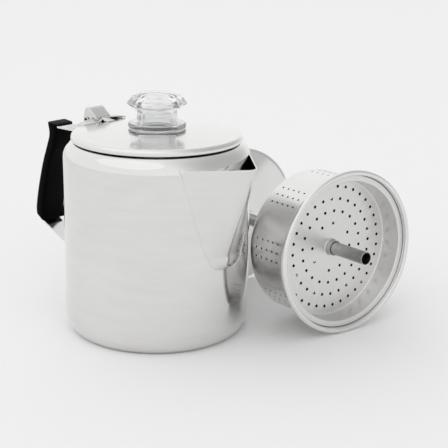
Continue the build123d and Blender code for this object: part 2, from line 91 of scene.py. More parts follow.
def rounded(points, radii, n=5, closed=True):
    """2-D outline with its corners turned into arcs of n steps."""
    out = []
    count = len(points)
    for i, p in enumerate(points):
        r = radii[i] if isinstance(radii, (list, tuple)) else radii
        if r <= 0 or (not closed and i in (0, count - 1)):
            out.append(tuple(p))
            continue
        b = Vector(p)
        a, c = Vector(points[i - 1]), Vector(points[(i + 1) % count])
        d1, d2 = (a - b).normalized(), (c - b).normalized()
        half = acos(max(-1, min(1, d1.dot(d2)))) / 2
        if half > radians(88):
            out.append(tuple(p))
            continue
        back = r / (sin(half) / cos(half))
        centre = b + (d1 + d2).normalized() * (r / sin(half))
        s, e = b + d1 * back - centre, b + d2 * back - centre
        a0, a1 = atan2(s.y, s.x), atan2(e.y, e.x)
        while a1 - a0 > pi:
            a1 -= 2 * pi
        while a1 - a0 < -pi:
            a1 += 2 * pi
        out += [(centre.x + r * cos(a0 + (a1 - a0) * k / n), centre.y + r * sin(a0 + (a1 - a0) * k / n))
                for k in range(n + 1)]
    return out


def lathe(name, profile, segments=192, matrix=None, closed=True, angle=32):
    """Mesh turned from a (radius, height) outline in millimetres."""
    bm = bmesh.new()
    rings = []
    for r, z in profile:
        if r < 1e-6:
            v = bm.verts.new((0, 0, z * MM))
            rings.append([v] * segments)
        else:
            rings.append([bm.verts.new((r * MM * cos(2 * pi * k / segments),
                                        r * MM * sin(2 * pi * k / segments), z * MM))
                          for k in range(segments)])
    pairs = list(zip(rings, rings[1:] + ([rings[0]] if closed else [])))
    if not closed:
        pairs = pairs[:len(rings) - 1]
    for a, b in pairs:
        for k in range(segments):
            quad = []
            for v in (a[k], a[(k + 1) % segments], b[(k + 1) % segments], b[k]):
                if v not in quad:
                    quad.append(v)
            if len(quad) > 2:
                bm.faces.new(quad)
    return from_bmesh(name, bm, matrix, angle)


def prism(name, outline, half_width, bevel=0.0, segments=3):
    """Block from an outline in the handle plane (u outward along -X, z), in millimetres."""
    bm = bmesh.new()
    loops = []
    for y in (-half_width, half_width):
        loops.append([bm.verts.new((-u * MM, y * MM, z * MM)) for u, z in outline])
    n = len(outline)
    bm.faces.new(loops[0])
    bm.faces.new(list(reversed(loops[1])))
    for k in range(n):
        bm.faces.new((loops[0][k], loops[1][k], loops[1][(k + 1) % n], loops[0][(k + 1) % n]))
    if bevel:
        bmesh.ops.recalc_face_normals(bm, faces=bm.faces)
        corners = [e for e in bm.edges if e.calc_face_angle(0) > radians(35)]
        bmesh.ops.bevel(bm, geom=corners, offset=bevel * MM, segments=segments, profile=0.5,
                        affect="EDGES", clamp_overlap=True)
    return from_bmesh(name, bm)


def cut(obj, cutter):
    """Boolean difference applied to the mesh; the cutter is removed."""
    mod = obj.modifiers.new("cut", "BOOLEAN")
    mod.operation, mod.solver, mod.object = "DIFFERENCE", "EXACT", cutter
    bpy.context.view_layer.update()
    dg = bpy.context.evaluated_depsgraph_get()
    mesh = bpy.data.meshes.new_from_object(obj.evaluated_get(dg))
    obj.modifiers.remove(mod)
    obj.data = mesh
    bpy.data.objects.remove(cutter)
    shade(mesh)
    return obj


def drills(spots, segments=16):
    """One mesh of many cylinders: (centre, direction, radius, length) in millimetres."""
    bm = bmesh.new()
    for centre, direction, radius, length in spots:
        turn = Vector(direction).to_track_quat("Z", "Y").to_matrix().to_4x4()
        place = Matrix.Translation(Vector(centre) * MM) @ turn
        bmesh.ops.create_cone(bm, cap_ends=True, segments=segments, radius1=radius * MM,
                              radius2=radius * MM, depth=length * MM, matrix=place)
    return from_bmesh("drills", bm)


# ---------------------------------------------------------------- sizes from the frame, in mm
def box_mm(node):
    lo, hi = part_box(node)
    return lo / MM, hi / MM


pot_hi = box_mm("pot_body")[1]
POT_R, NECK_Z = pot_hi.x, pot_hi.z
lid_lo, lid_hi = box_mm("lid_shell")
LID_R, LID_LOW, LID_TOP = lid_hi.x, lid_lo.z, lid_hi.z
spout_hi = box_mm("spout")[1]
SPOUT_REACH, SPOUT_TOP = spout_hi.x, spout_hi.z
pin_lo, pin_hi = box_mm("hinge_pin")
PIN_U, PIN_Z = -(pin_lo.x + pin_hi.x) / 2, (pin_lo.z + pin_hi.z) / 2
joints = {j["name"]: j for j in frame["joints"]}
AXIS = Vector(joints["basket_slide"]["axis"]).normalized()
# Pump sizes along its own axis, zero at the basket's rim.
BASKET_R, BASKET_DEPTH, BASKET_T = 54.3, 50.7, 0.8
BEAD_R, BEAD_IN_R, BEAD_H, LEDGE_T = 61.1, 57.3, 4.4, 0.7
DISH_R, DISH_FLANGE_R, DISH_T, DISH_GAP, PLATE_DEPTH = 53.2, 57.0, 0.7, 0.3, 20.4
COLLAR_IN_R, COLLAR_OUT_R, COLLAR_H = 5.15, 5.85, 5.0
TUBE_R, TUBE_BORE_R, TUBE_TIP = 4.8, 4.35, 18.1
FOOT_DEPTH, FOOT_R, FOOT_T, FOOT_LIP, FOOT_RISE = 138.4, 56.3, 0.8, 2.4, 5.0
FERRULE_R, FERRULE_H, STOP_R, STOP_H = 7.2, 7.0, 6.8, 2.4
HOLE_R, WALL_HOLE_R = 1.18, 0.78
TUBE_LOW = -FOOT_DEPTH + FOOT_LIP / 2
tube_lo, tube_hi = box_mm("pump_tube")
PUMP_O = (tube_lo + tube_hi) / 2 - AXIS * (TUBE_LOW + TUBE_TIP) / 2
side = AXIS.cross(Vector((0, 0, 1))).normalized()
up = side.cross(AXIS).normalized()
PUMP = Matrix(((up.x, side.x, AXIS.x, PUMP_O.x * MM), (up.y, side.y, AXIS.y, PUMP_O.y * MM),
               (up.z, side.z, AXIS.z, PUMP_O.z * MM), (0, 0, 0, 1)))


# ---------------------------------------------------------------- materials
def material(name):
    mat = bpy.data.materials.new(name)
    mat.use_nodes = True
    nodes, links = mat.node_tree.nodes, mat.node_tree.links
    return mat, nodes, links, nodes["Principled BSDF"]


def noise(nodes, links, vector, scale, detail):
    """Noise texture node fed by the vector output."""
    node = nodes.new("ShaderNodeTexNoise")
    node.inputs["Scale"].default_value = scale
    node.inputs["Detail"].default_value = detail
    links.new(vector, node.inputs["Vector"])
    return node


def roughness(nodes, links, value, low, high, bsdf):
    """Roughness between low and high as the value goes over its range."""
    span = nodes.new("ShaderNodeMapRange")
    span.inputs["To Min"].default_value = low
    span.inputs["To Max"].default_value = high
    links.new(value, span.inputs["Value"])
    links.new(span.outputs["Result"], bsdf.inputs["Roughness"])
    return span


def base_colour(nodes, links, value, low, high, bsdf):
    """Base colour between low and high as the value goes over its range."""
    ramp = nodes.new("ShaderNodeValToRGB")
    ramp.color_ramp.elements[0].color = (*low, 1)
    ramp.color_ramp.elements[1].color = (*high, 1)
    links.new(value, ramp.inputs["Fac"])
    links.new(ramp.outputs["Color"], bsdf.inputs["Base Color"])
    return ramp


def relief(nodes, links, value, strength, distance, bsdf):
    bump = nodes.new("ShaderNodeBump")
    bump.inputs["Strength"].default_value = strength
    bump.inputs["Distance"].default_value = distance
    links.new(value, bump.inputs["Height"])
    links.new(bump.outputs["Normal"], bsdf.inputs["Normal"])


GRAIN_SHARE, BLOTCH_SHARE = 0.6, 0.4
NOISE_LOW, NOISE_HIGH = 0.3, 0.7


def steel(name, tone, rough, rough_span, stretch, grain_scale, bump,
          tint=(1.0, 0.995, 0.985), metallic=1.0):
    """Stainless steel: base tone with faint blotches, stretched grain in roughness and bump."""
    mat, nodes, links, bsdf = material(name)
    bsdf.inputs["Metallic"].default_value = metallic
    bsdf.inputs["Specular IOR Level"].default_value = 0.5 * metallic
    coord = nodes.new("ShaderNodeTexCoord")
    mapping = nodes.new("ShaderNodeMapping")
    mapping.inputs["Scale"].default_value = stretch
    links.new(coord.outputs["Object"], mapping.inputs["Vector"])
    grain = noise(nodes, links, mapping.outputs["Vector"], grain_scale, 4.0)
    grain.inputs["Roughness"].default_value = 0.6
    blotch = noise(nodes, links, coord.outputs["Object"], 28.0, 3.0)
    part = nodes.new("ShaderNodeMath")
    part.operation = "MULTIPLY"
    part.inputs[1].default_value = BLOTCH_SHARE
    links.new(blotch.outputs["Fac"], part.inputs[0])
    mixed = nodes.new("ShaderNodeMath")
    mixed.operation = "MULTIPLY_ADD"
    mixed.inputs[1].default_value = GRAIN_SHARE
    links.new(grain.outputs["Fac"], mixed.inputs[0])
    links.new(part.outputs[0], mixed.inputs[2])
    span = roughness(nodes, links, mixed.outputs[0], rough - rough_span / 2, rough + rough_span / 2, bsdf)
    span.inputs["From Min"].default_value = NOISE_LOW
    span.inputs["From Max"].default_value = NOISE_HIGH
    low, high = tone * 0.96, min(1.0, tone * 1.03)
    ramp = base_colour(nodes, links, mixed.outputs[0], [low * c for c in tint], [high * c for c in tint], bsdf)
    ramp.color_ramp.elements[0].position = NOISE_LOW
    ramp.color_ramp.elements[1].position = NOISE_HIGH
    relief(nodes, links, grain.outputs["Fac"], bump, 0.00005, bsdf)
    return mat


POLISHED = steel("polished_steel", 0.775, 0.085, 0.03, (1.0, 1.0, 5.0), 40.0, 0.02)
LID_STEEL = steel("lid_steel", 0.79, 0.17, 0.05, (1.0, 1.0, 1.0), 260.0, 0.08)
SATIN = steel("satin_steel", 0.80, 0.25, 0.07, (1.0, 1.0, 22.0), 120.0, 0.10)
GRAINED = steel("grained_steel", 0.76, 0.33, 0.14, (1.0, 1.0, 1.0), 1100.0, 0.6)
BRIGHT = steel("bright_steel", 0.80, 0.16, 0.06, (1.0, 1.0, 6.0), 200.0, 0.10)
TUBE_STEEL = steel("tube_steel", 0.50, 0.20, 0.06, (3.0, 3.0, 0.4), 160.0, 0.12)
HINGE_STEEL = steel("hinge_steel", 0.70, 0.26, 0.08, (1.0, 1.0, 1.0), 420.0, 0.20)
# Painted shade: near-black steel for the basket's inside and the spreader's underside, which sit in shade and
# show through the holes.
SHADE_INSIDE = steel("painted_shade_inside", 0.05, 0.55, 0.15, (1.0, 1.0, 1.0), 300.0, 0.25, (1.0, 0.98, 0.95))
# Dark non-metallic steel: the dark seam bead on the spout, and painted shade in the pin's bores and in the
# cavity under the hinge leaf.
SEAM_AND_SHADE_STEEL = steel("seam_and_painted_shade_steel", 0.05, 0.50, 0.15, (1.0, 1.0, 1.0), 600.0, 0.25, (1.0, 0.98, 0.95), 0.0)


def rubber():
    mat, nodes, links, bsdf = material("sleeve_rubber")
    bsdf.inputs["Specular IOR Level"].default_value = 0.04
    coord = nodes.new("ShaderNodeTexCoord").outputs["Object"]
    fine = noise(nodes, links, coord, 900.0, 5.0).outputs["Fac"]
    wide = noise(nodes, links, coord, 45.0, 3.0).outputs["Fac"]
    roughness(nodes, links, wide, 0.38, 0.56, bsdf)
    base_colour(nodes, links, wide, (0.0006, 0.0006, 0.0007), (0.0016, 0.0016, 0.0018), bsdf)
    relief(nodes, links, fine, 0.35, 0.0001, bsdf)
    return mat


def resin():
    mat, nodes, links, bsdf = material("clear_resin")
    bsdf.inputs["Transmission Weight"].default_value = 0.88
    bsdf.inputs["IOR"].default_value = 1.42
    coord = nodes.new("ShaderNodeTexCoord").outputs["Object"]
    wide = noise(nodes, links, coord, 60.0, 2.0).outputs["Fac"]
    roughness(nodes, links, wide, 0.05, 0.12, bsdf)
    base_colour(nodes, links, wide, (0.95, 0.96, 0.96), (0.99, 0.99, 0.99), bsdf)
    relief(nodes, links, wide, 0.06, 0.0002, bsdf)
    return mat


RUBBER = rubber()
RESIN = resin()


def piece(obj, mat, body, node):
    """Gives the mesh its material and body, and lets it stand for the CAD node."""
    obj.data.materials.clear()
    obj.data.materials.append(mat)
    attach(obj, body)
    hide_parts(node)
    return obj


def paint(obj, mat, chosen):
    """Second material on the faces whose centre, in millimetres, and normal are chosen."""
    obj.data.materials.append(mat)
    index = len(obj.data.materials) - 1
    for face in obj.data.polygons:
        if chosen(face.center / MM, face.normal):
            face.material_index = index


# ---------------------------------------------------------------- pot
SHEET = 0.8
SHOULDER_R, SHOULDER_Z = 14.0, 129.0
NECK_R = 58.5
BASE_W, BASE_H = 8.5, 15.5
LIP_CHAMFER, LIP_LAND = 0.3, 0.25
FLOOR_RINGS = (0, 20, 40)
POUR_R, POUR_LOW_Z, POUR_PITCH, POUR_ANGLE, POUR_ROWS = 3.0, 96, 10, 9.0, 3


def pot_profile():
    """(radius, height) line: under the floor, up the outside, over the neck and down the inside."""
    def side_line(inset, n):
        ring_r = SHOULDER_R - inset
        mid = POT_R - SHOULDER_R
        end = degrees(acos((NECK_R - (inset and SHEET) - mid) / ring_r))
        base = arc(POT_R - BASE_W, BASE_H, BASE_W - inset, BASE_H - inset, -90, 0, n)
        wall = [(POT_R - inset, BASE_H + (SHOULDER_Z - BASE_H) * k / 12) for k in range(1, 12)]
        return base + wall + arc(mid, SHOULDER_Z, ring_r, ring_r, 0, end, n)
    outer = side_line(0.0, 16)
    inner = side_line(SHEET, 12)
    neck = [(NECK_R, NECK_Z - LIP_CHAMFER), (NECK_R - LIP_LAND, NECK_Z),
            (NECK_R - SHEET + LIP_LAND, NECK_Z), (NECK_R - SHEET, NECK_Z - LIP_CHAMFER)]
    under = [(r, 0.0) for r in FLOOR_RINGS]
    above = [(r, SHEET) for r in FLOOR_RINGS[::-1]]
    return under + outer + neck + inner[::-1] + above


def pour_spots():
    """Holes behind the spout: rows of three, four and three."""
    spots = []
    for row in range(POUR_ROWS):
        odd = row % 2
        count = 2 if odd else 1
        for step in range(-count, count + (0 if odd else 1)):
            a = radians(step * POUR_ANGLE + (POUR_ANGLE / 2 if odd else 0))
            centre = (POT_R * cos(a), POT_R * sin(a), POUR_LOW_Z + row * POUR_PITCH)
            spots.append((centre, (cos(a), sin(a), 0), POUR_R, 20))
    return spots


pot = cut(lathe("pot_shell", pot_profile(), 256, closed=False), drills(pour_spots(), 32))
piece(pot, POLISHED, "pot", "pot_body")


# ---------------------------------------------------------------- spout
# The seam is a U on the wall: straight sides down to the bend, then a half ellipse below it.
BEND_Z, DROP = 68.0, 9.5
SEAM_TOP_V, SEAM_BEND_V = 39.0, 22.0
NOSE_BEND, NOSE_LOW = 70.2, 67.5
NOSE_TOP_R, NOSE_GROWTH = 7.0, 17.0
SEAM_INTO_WALL = 0.5
SEAM_LIFT, SEAM_BEAD_R, SEAM_FLAT = 0.12, 0.5, 0.6
SPOUT_ROWS, BEND_STEPS = 30, (6, 12, 18, 24, 30, 36, 42, 48, 54, 60, 66, 71, 75)


def wall_r(z):
    """Outside radius of the pot at a height on the wall or the shoulder."""
    if z <= SHOULDER_Z:
        return POT_R
    return POT_R - SHOULDER_R + sqrt(SHOULDER_R ** 2 - (z - SHOULDER_Z) ** 2)


def spout_shape(z):
    """Seam position, half-width at the seam, nose reach and nose radius at a height."""
    rise = max(0.0, (z - BEND_Z) / (SPOUT_TOP - BEND_Z))
    fall = sqrt(max(0.0, 1 - (max(0.0, BEND_Z - z) / DROP) ** 2))
    v = SEAM_BEND_V + rise * (SEAM_TOP_V - SEAM_BEND_V)
    nose = NOSE_LOW + fall * (NOSE_BEND + rise * (SPOUT_REACH - NOSE_BEND) - NOSE_LOW)
    u = sqrt((wall_r(z) - SEAM_INTO_WALL) ** 2 - v * v)
    widest = 0.9 * ((nose - u) ** 2 + v * v) / (2 * (nose - u))
    return u, v, nose, min(NOSE_TOP_R + NOSE_GROWTH * (1 - rise) ** 2, widest)


def spout_section(z, thick):
    """Whole section: straight side, round nose, straight side, with both seams inside the wall."""
    u, v, nose, r = spout_shape(z)
    centre = nose - r
    reach = hypot(u - centre, v)
    gamma = atan2(v, u - centre) - acos(min(1, r / reach))
    rr = r - thick
    run = sqrt(max(0, reach * reach - r * r))
    touch = (centre + rr * cos(gamma), rr * sin(gamma))
    seam = (touch[0] - sin(gamma) * run, touch[1] + cos(gamma) * run)
    half = [seam]
    for k in range(1, 9):
        t = k / 8
        half.append((seam[0] + (touch[0] - seam[0]) * t, seam[1] + (touch[1] - seam[1]) * t))
    for k in range(1, 13):
        g = gamma * (1 - k / 12)
        half.append((centre + rr * cos(g), rr * sin(g)))
    return half + [(x, -y) for x, y in half[-2::-1]]


def spout_curve(z, thick, n=48):
    """The section in n even steps from seam to seam, cut where it meets the pot's wall."""
    full = spout_section(z, thick)
    wall = wall_r(z) - SEAM_INTO_WALL / 2
    length = [0.0]
    for a, b in zip(full, full[1:]):
        length.append(length[-1] + hypot(b[0] - a[0], b[1] - a[1]))
    inside = [hypot(*p) < wall for p in full]
    if all(inside):
        return None
    first = inside.index(False)
    start = 0.0
    if first > 0:
        ra, rb = hypot(*full[first - 1]), hypot(*full[first])
        start = length[first - 1] + (length[first] - length[first - 1]) * (wall - ra) / (rb - ra)
    out = []
    for k in range(n + 1):
        s = start + (length[-1] - 2 * start) * k / n
        j = max(i for i in range(len(length)) if length[i] <= s + 1e-9)
        j = min(j, len(full) - 2)
        t = (s - length[j]) / (length[j + 1] - length[j])
        a, b = full[j], full[j + 1]
        out.append((a[0] + (b[0] - a[0]) * t, a[1] + (b[1] - a[1]) * t))
    return out


def spout_mesh():
    heights = [SPOUT_TOP - (SPOUT_TOP - BEND_Z) * k / SPOUT_ROWS for k in range(SPOUT_ROWS + 1)]
    heights += [BEND_Z - DROP * sin(radians(a)) for a in BEND_STEPS]
    bm = bmesh.new()
    layers = []
    for thick in (0.0, SHEET):
        rows = []
        for z in heights:
            curve = spout_curve(z, thick)
            if curve is None:
                break
            rows.append([bm.verts.new((x * MM, y * MM, z * MM)) for x, y in curve])
        for a, b in zip(rows, rows[1:]):
            for k in range(len(a) - 1):
                bm.faces.new((a[k], b[k], b[k + 1], a[k + 1]))
        layers.append(rows)
    outer, inner = layers
    for k in range(len(outer[0]) - 1):
        bm.faces.new((outer[0][k], outer[0][k + 1], inner[0][k + 1], inner[0][k]))
    down = [row[0].co.copy() for row in outer]
    across = [outer[-1][k].co.copy() for k in range(4, len(outer[-1]) - 4, 4)]
    back_up = [row[-1].co.copy() for row in reversed(outer)]
    seam_bead(bm, [on_wall(p) for p in down + across + back_up])
    return from_bmesh("spout_sheet", bm, angle=45)


def on_wall(point):
    """The point moved out to just above the pot's wall."""
    scale = (wall_r(point.z / MM) + SEAM_LIFT) * MM / hypot(point.x, point.y)
    return Vector((point.x * scale, point.y * scale, point.z))


def seam_bead(bm, path, sides=8):
    """Thin flattened bead along the path, with the second material."""
    rings = []
    for k, p in enumerate(path):
        ahead = (path[min(k + 1, len(path) - 1)] - path[max(k - 1, 0)]).normalized()
        out = Vector((p.x, p.y, 0)).normalized()
        across = ahead.cross(out).normalized()
        ring = []
        for j in range(sides):
            turn = 2 * pi * j / sides
            offset = out * cos(turn) * SEAM_FLAT + across * sin(turn)
            ring.append(bm.verts.new(p + offset * SEAM_BEAD_R * MM))
        rings.append(ring)
    faces = [bm.faces.new(rings[0]), bm.faces.new(rings[-1])]
    for a, b in zip(rings, rings[1:]):
        faces += [bm.faces.new((a[j], b[j], b[(j + 1) % sides], a[(j + 1) % sides])) for j in range(sides)]
    for face in faces:
        face.material_index = 1


spout = piece(spout_mesh(), POLISHED, "pot", "spout")
spout.data.materials.append(SEAM_AND_SHADE_STEEL)


# ---------------------------------------------------------------- lid
LID_T, LID_CORNER = 0.7, 3.0
LID_CROWN_R = 540.0
KNOB_HOLE_R = 14.7
DOME_RINGS = (KNOB_HOLE_R, 20, 28, 36, 44, 50, 55)


def dome(r, drop=0.0):
    """Height of the lid's top at a radius, less drop."""
    return LID_TOP + 0.2 - drop - r * r / (2 * LID_CROWN_R)


def lid_profile():
    corner, inner = LID_CORNER, LID_CORNER - LID_T
    centre_r = LID_R - corner
    top = [(r, dome(r)) for r in (*DOME_RINGS, centre_r)]
    z = dome(centre_r) - corner
    outer = arc(centre_r, z, corner, corner, 84, 0, 10) + [(LID_R, z - 0.8), (LID_R, LID_LOW + 0.3)]
    edge = [(LID_R - 0.2, LID_LOW), (LID_R - LID_T + 0.2, LID_LOW), (LID_R - LID_T, LID_LOW + 0.3)]
    inside = [(LID_R - LID_T, z - 0.8)] + arc(centre_r, z, inner, inner, 0, 84, 8)
    under = [(r, dome(r, LID_T)) for r in DOME_RINGS[::-1]]
    return top + outer + edge + inside + under


piece(lathe("lid_pan", lid_profile(), 256), LID_STEEL, "lid", "lid_shell")


# ---------------------------------------------------------------- pump
WALL_GROUPS, GROUP_START, ROW_STEP = 8, -5, 7.2
WALL_COLUMNS, COLUMN_FIRST, COLUMN_PITCH = 5, 17, 6
BOTTOM_RINGS = ((14, 8), (22, 14), (30, 20), (38, 26), (46, 32))
PLATE_RINGS = ((45.9, 36, 3.3), (36.7, 28, 0.4), (27.5, 20, -4.8))
PAIR_R, PAIR_TURNS = 18.2, (-5.2, 29.2)


def ring_spots(radius, count, phase, hole_r, depth):
    angles = [radians(phase) + 2 * pi * k / count for k in range(count)]
    return [((radius * cos(a), radius * sin(a), depth), (0, 0, 1), hole_r, 6) for a in angles]


def basket_spots():
    """Wall holes in eight groups of three rows, and rings of holes in the bottom."""
    spots = []
    for group in range(WALL_GROUPS):
        for row in (-1, 0, 1):
            a = radians(GROUP_START + 360 / WALL_GROUPS * group + row * ROW_STEP)
            for col in range(WALL_COLUMNS):
                centre = (BASKET_R * cos(a), BASKET_R * sin(a), -COLUMN_FIRST - COLUMN_PITCH * col)
                spots.append((centre, (cos(a), sin(a), 0), WALL_HOLE_R, 8))
    for radius, count in BOTTOM_RINGS:
        spots += ring_spots(radius, count, 0, HOLE_R, -BASKET_DEPTH)
    return spots


def plate_spots():
    """Three rings of holes and four pairs round the collar of the spreader."""
    spots = []
    for radius, count, phase in PLATE_RINGS:
        spots += ring_spots(radius, count, phase, HOLE_R, -PLATE_DEPTH)
    for turn in PAIR_TURNS:
        spots += ring_spots(PAIR_R, 4, turn, HOLE_R, -PLATE_DEPTH)
    return spots


def basket_outline():
    wall_in, low_in, ledge_r = BASKET_R - BASKET_T, -BASKET_DEPTH + BASKET_T, BEAD_IN_R + LEDGE_T
    under = -BEAD_H - LEDGE_T
    return rounded(
        [(COLLAR_IN_R, -BASKET_DEPTH), (BASKET_R, -BASKET_DEPTH), (BASKET_R, under), (ledge_r, under),
         (ledge_r, -BEAD_H), (BEAD_R, -BEAD_H), (BEAD_R, 0.0), (BEAD_IN_R, 0.0), (BEAD_IN_R, -BEAD_H),
         (wall_in, -BEAD_H), (wall_in, low_in), (COLLAR_OUT_R, low_in), (COLLAR_OUT_R, low_in + COLLAR_H),
         (COLLAR_IN_R, low_in + COLLAR_H)],
        [0.3, 3.5, 0.5, 0.2, 0.2, 1.3, 1.5, 1.2, 0.5, 0.2, 2.7, 0.5, 0.15, 0.15], 6)


def dish_outline():
    wall_in, top, low = DISH_R - DISH_T, -BEAD_H + DISH_GAP, -PLATE_DEPTH - DISH_T
    return rounded(
        [(COLLAR_IN_R, low), (DISH_R, low), (DISH_R, top), (DISH_FLANGE_R, top),
         (DISH_FLANGE_R, top + DISH_T), (wall_in, top + DISH_T), (wall_in, -PLATE_DEPTH),
         (COLLAR_OUT_R, -PLATE_DEPTH), (COLLAR_OUT_R, -PLATE_DEPTH + COLLAR_H),
         (COLLAR_IN_R, -PLATE_DEPTH + COLLAR_H)],
        [0.3, 1.9, 0.2, 0.2, 0.3, 0.9, 1.2, 1.0, 0.2, 0.2], 6)


def foot_outline():
    rim = -FOOT_DEPTH - FOOT_LIP / 2
    high = rim + FOOT_RISE + FOOT_LIP
    return rounded(
        [(TUBE_R, high), (13, high), (FOOT_R - 2.5, rim + FOOT_LIP), (FOOT_R, rim + 1.4), (FOOT_R, rim),
         (FOOT_R - FOOT_T, rim), (FOOT_R - FOOT_T, rim + 1.0), (FOOT_R - 2.9, rim + 1.6),
         (13, high - FOOT_T), (TUBE_R, high - FOOT_T)],
        [0, 3, 1.0, 0.8, 0.2, 0.2, 0.4, 0.6, 2.5, 0], 5)


def pump_piece(name, outline, mat, body, node, segments=192, spots=None):
    obj = lathe(name, outline, segments)
    if spots:
        obj = cut(obj, drills(spots, 16))
    obj.matrix_world = PUMP
    return piece(obj, mat, body, node)


basket = pump_piece("basket_shell", basket_outline(), SATIN, "basket", "basket_can", 224,
                    basket_spots())
# Painted shade over the whole inside of the basket.
paint(basket, SHADE_INSIDE, lambda spot, normal: hypot(spot.x, spot.y) < BASKET_R - BASKET_T / 2
      and -BASKET_DEPTH + BASKET_T / 2 < spot.z < -BEAD_H - 0.5)
dish = pump_piece("spreader_dish", dish_outline(), GRAINED, "spreader", "spreader", 224,
                  plate_spots())
# Painted shade on the spreader's underside.
paint(dish, SHADE_INSIDE, lambda spot, normal: spot.z < -PLATE_DEPTH - 0.3)
paint(dish, TUBE_STEEL, lambda spot, normal: hypot(spot.x, spot.y) < COLLAR_OUT_R + 0.2
      and spot.z >= -PLATE_DEPTH - 0.3)
tube = rounded([(TUBE_R, TUBE_LOW), (TUBE_R, TUBE_TIP), (TUBE_BORE_R, TUBE_TIP), (TUBE_BORE_R, TUBE_LOW)],
               0.12, 3)
pump_piece("tube_long", tube, TUBE_STEEL, "pump", "pump_tube", 64)
pump_piece("foot_dish", foot_outline(), POLISHED, "pump", "pump_foot")
seat = TUBE_LOW + FOOT_RISE
ferrule = rounded([(TUBE_R, seat), (FERRULE_R, seat), (FERRULE_R, seat + FERRULE_H),
                   (TUBE_R, seat + FERRULE_H)], [0, 0.2, 1.0, 0], 5)
pump_piece("foot_ferrule", ferrule, BRIGHT, "pump", "tube_ferrule", 64)
seat = -BASKET_DEPTH - DISH_GAP
stop = rounded([(TUBE_R, seat - STOP_H), (STOP_R, seat - STOP_H), (STOP_R, seat), (TUBE_R, seat)],
               [0, 0.8, 0.8, 0], 5)
pump_piece("stop_ring", stop, BRIGHT, "pump", "basket_stop", 64)

# ---------------------------------------------------------------- handle sleeve and hinge pin
# Stations of the sleeve: (outer face, inner face) in the handle plane, top to bottom.
SLEEVE = (((108.2, 139.7), (98.2, 138.9)), ((106.6, 131.0), (98.2, 131.8)), ((109.4, 121.5), (100.8, 121.0)),
          ((114.2, 107.5), (106.4, 107.0)), ((119.0, 88.0), (110.8, 88.0)), ((121.7, 72.0), (113.6, 70.0)),
          ((121.2, 66.0), (112.7, 60.0)))
SLEEVE_STEPS, SLEEVE_CORNER = 8, 2.4
# The sleeve's half-width grows from its wide reference height downwards.
SLEEVE_HALF, SLEEVE_WIDE_Z, SLEEVE_DROP, SLEEVE_FLARE = 9.25, 145, 97, 3.5
# Rounded ends: how far each ring lies past the last station, and how much it shrinks.
END_LENGTH, END_BULGE = 0.9, ((0.35, 0.12), (0.7, 0.4), (1.0, 1.0))


def spline(points, steps):
    """Smooth curve through the points with the given steps per span."""
    pts = [Vector(p) for p in points]
    pts = [pts[0] * 2 - pts[1]] + pts + [pts[-1] * 2 - pts[-2]]
    out = []
    for p0, p1, p2, p3 in zip(pts, pts[1:], pts[2:], pts[3:]):
        for k in range(steps):
            t = k / steps
            out.append(0.5 * (2 * p1 + (p2 - p0) * t + (2 * p0 - 5 * p1 + 4 * p2 - p3) * t * t
                              + (3 * p1 - p0 - 3 * p2 + p3) * t ** 3))
    return out + [pts[-2]]


def sleeve_mesh():
    outer = spline([station[0] for station in SLEEVE], SLEEVE_STEPS)
    inner = spline([station[1] for station in SLEEVE], SLEEVE_STEPS)
    stations = [(o, i, 0.0) for o, i in zip(outer, inner)]
    top_dir = (outer[0] - outer[1]).normalized() * END_LENGTH
    low_dir = (outer[-1] - outer[-2]).normalized() * END_LENGTH
    head = [(outer[0] + top_dir * f, inner[0] + top_dir * f * 0.4, g * END_LENGTH) for f, g in END_BULGE]
    tail = [(outer[-1] + low_dir * f, inner[-1] + low_dir * f, g * END_LENGTH) for f, g in END_BULGE]
    bm = bmesh.new()
    rings = []
    for o, i, shrink in head[::-1] + stations + tail:
        mid, half = (o + i) / 2, (o - i).length / 2 - shrink
        across = (o - i).normalized()
        wide = SLEEVE_HALF + (SLEEVE_WIDE_Z - mid.y) / SLEEVE_DROP * SLEEVE_FLARE - shrink
        section = rounded([(-half, -wide), (half, -wide), (half, wide), (-half, wide)],
                          max(0.4, SLEEVE_CORNER - shrink), 5)
        rings.append([bm.verts.new((-(mid.x + across.x * a) * MM, b * MM, (mid.y + across.y * a) * MM))
                      for a, b in section])
    for ra, rb in zip(rings, rings[1:]):
        for k in range(len(ra)):
            bm.faces.new((ra[k], rb[k], rb[(k + 1) % len(ra)], ra[(k + 1) % len(ra)]))
    bm.faces.new(rings[0])
    bm.faces.new(rings[-1])
    return from_bmesh("sleeve_grip", bm)


piece(sleeve_mesh(), RUBBER, "pot", "handle_sleeve")


PIN_HALF, PIN_HEAD_R, PIN_HEAD_T, PIN_SHAFT_R, PIN_BORE_R, PIN_BORE_H = 8.6, 2.1, 0.9, 1.25, 1.75, 0.8


def pin_mesh():
    """Two mirrored halves, each a shaft with a hollow head."""
    neck, floor_z = PIN_HALF - PIN_HEAD_T, PIN_HALF - PIN_BORE_H
    outline = rounded([(0, 0.1), (PIN_SHAFT_R, 0.1), (PIN_SHAFT_R, neck), (PIN_HEAD_R, neck),
                       (PIN_HEAD_R, PIN_HALF), (PIN_BORE_R, PIN_HALF), (PIN_BORE_R, floor_z), (0, floor_z)],
                      [0, 0, 0.1, 0.15, 0.3, 0.15, 0.1, 0], 3)
    bm = bmesh.new()
    for turn in (90, -90):
        half = lathe("half", outline, 40, closed=False)
        place = Matrix.Translation((-PIN_U * MM, 0, PIN_Z * MM))
        half.data.transform(place @ Matrix.Rotation(radians(turn), 4, "X"))
        bm.from_mesh(half.data)
        bpy.data.objects.remove(half)
    return from_bmesh("pin_rivet", bm)


pin = piece(pin_mesh(), BRIGHT, "pot", "hinge_pin")
